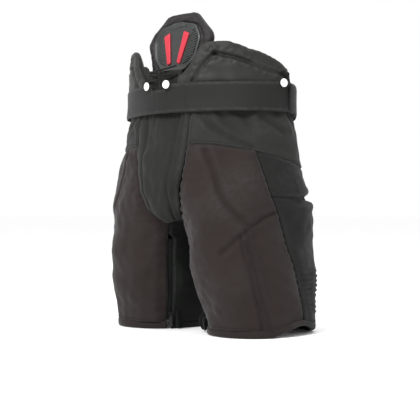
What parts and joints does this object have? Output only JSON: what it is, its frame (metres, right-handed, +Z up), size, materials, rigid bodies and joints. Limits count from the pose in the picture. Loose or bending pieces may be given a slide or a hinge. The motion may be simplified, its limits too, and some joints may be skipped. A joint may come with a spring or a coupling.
{
  "type": "hockey pants",
  "caption": "Padded ice hockey pants with a wide belt, raised hip and spine pads, stretch side panels, inner leg zips and suspender buttons.",
  "frame": {"origin": "floor level under the middle of the garment's box, standing on both leg hems", "axes": "+Z up the body; the wearer faces -Y; the wearer's left is +X"},
  "size_m": [0.4214, 0.2802, 0.5956],
  "materials": {
    "thigh_cloth": "brown-black woven nylon, plain weave, soft sheen",
    "shell_cloth": "green-black woven nylon, matte",
    "stretch_cloth": "charcoal stretch knit, matte",
    "dark_cloth": "near-black nylon, matte",
    "belt_web": "dark webbing belt, fine cross rib",
    "pad_cloth": "black coated nylon over foam, low sheen",
    "shield_plastic": "grey moulded ribbed plastic",
    "red_insert": "bright red moulded strip",
    "white_plastic": "white moulded button",
    "guard_plastic": "grey polyethylene guard",
    "foam": "closed-cell foam, matte",
    "zip_metal": "black enamelled zinc",
    "lace_cord": "black braided lace"
  },
  "bodies": {
    "shell": {"belt": "belt_web", "crotch_gusset": "dark_cloth", "fly_lace": "lace_cord", "front_gusset": "shell_cloth", "left_back_button": "white_plastic", "left_back_thigh_panel": "shell_cloth", "left_belt_loop": "shell_cloth", "left_front_button": "white_plastic", "left_hem_binding": "dark_cloth", "left_hip_cap": "guard_plastic", "left_hip_pad": "pad_cloth", "left_hip_yoke": "shell_cloth", "left_inner_thigh_panel": "dark_cloth", "left_kidney_pad": "pad_cloth", "left_lower_side_panel": "stretch_cloth", "left_seat_panel": "shell_cloth", "left_side_button": "white_plastic", "left_thigh_foam": "foam", "left_thigh_guard": "guard_plastic", "left_thigh_panel": "thigh_cloth", "left_upper_side_panel": "stretch_cloth", "left_zip_tape": "dark_cloth", "right_back_button": "white_plastic", "right_back_thigh_panel": "shell_cloth", "right_belt_loop": "shell_cloth", "right_front_button": "white_plastic", "right_hem_binding": "dark_cloth", "right_hip_cap": "guard_plastic", "right_hip_pad": "pad_cloth", "right_hip_yoke": "shell_cloth", "right_inner_thigh_panel": "dark_cloth", "right_kidney_pad": "pad_cloth", "right_lower_side_panel": "stretch_cloth", "right_seat_panel": "shell_cloth", "right_side_button": "white_plastic", "right_thigh_foam": "foam", "right_thigh_guard": "guard_plastic", "right_thigh_panel": "thigh_cloth", "right_upper_side_panel": "stretch_cloth", "right_zip_tape": "dark_cloth", "spine_anchor": "belt_web", "tailbone_guard": "guard_plastic"},
    "spine_pad": {"spine_pad": "pad_cloth", "spine_shield": "shield_plastic", "left_spine_insert": "red_insert", "right_spine_insert": "red_insert"},
    "belt_tab": {"belt_tab": "belt_web"},
    "left_zip_slider": {"left_zip_slider": "zip_metal"},
    "left_zip_pull": {"left_zip_pull": "zip_metal"},
    "right_zip_slider": {"right_zip_slider": "zip_metal"},
    "right_zip_pull": {"right_zip_pull": "zip_metal"}
  },
  "joints": [
    {"name": "spine_pad_tilt", "type": "hinge", "parent": "shell", "child": "spine_pad", "pos_m": [0, -0.087, 0.448], "axis": [1, 0, 0], "range_deg": [-12, 8], "stiffness_Nm_per_rad": 5},
    {"name": "belt_tab_peel", "type": "hinge", "parent": "shell", "child": "belt_tab", "pos_m": [0.19616, 0.00671, 0.42955], "axis": [0, 0, -1], "range_deg": [0, 80]},
    {"name": "left_zip_slide", "type": "slide", "parent": "shell", "child": "left_zip_slider", "axis": [-0.1522, -0.1274, 0.9801], "range_m": [0, 0.13]},
    {"name": "left_pull_swing", "type": "hinge", "parent": "left_zip_slider", "child": "left_zip_pull", "pos_m": [0.04294, -0.0593, 0.02599], "axis": [-0.4959, 0.8676, 0.0358], "range_deg": [0, 110]},
    {"name": "right_zip_slide", "type": "slide", "parent": "shell", "child": "right_zip_slider", "axis": [0.1522, -0.1274, 0.9801], "range_m": [0, 0.13]},
    {"name": "right_pull_swing", "type": "hinge", "parent": "right_zip_slider", "child": "right_zip_pull", "pos_m": [-0.04294, -0.0593, 0.02599], "axis": [-0.4959, -0.8676, -0.0358], "range_deg": [0, 110]}
  ]
}
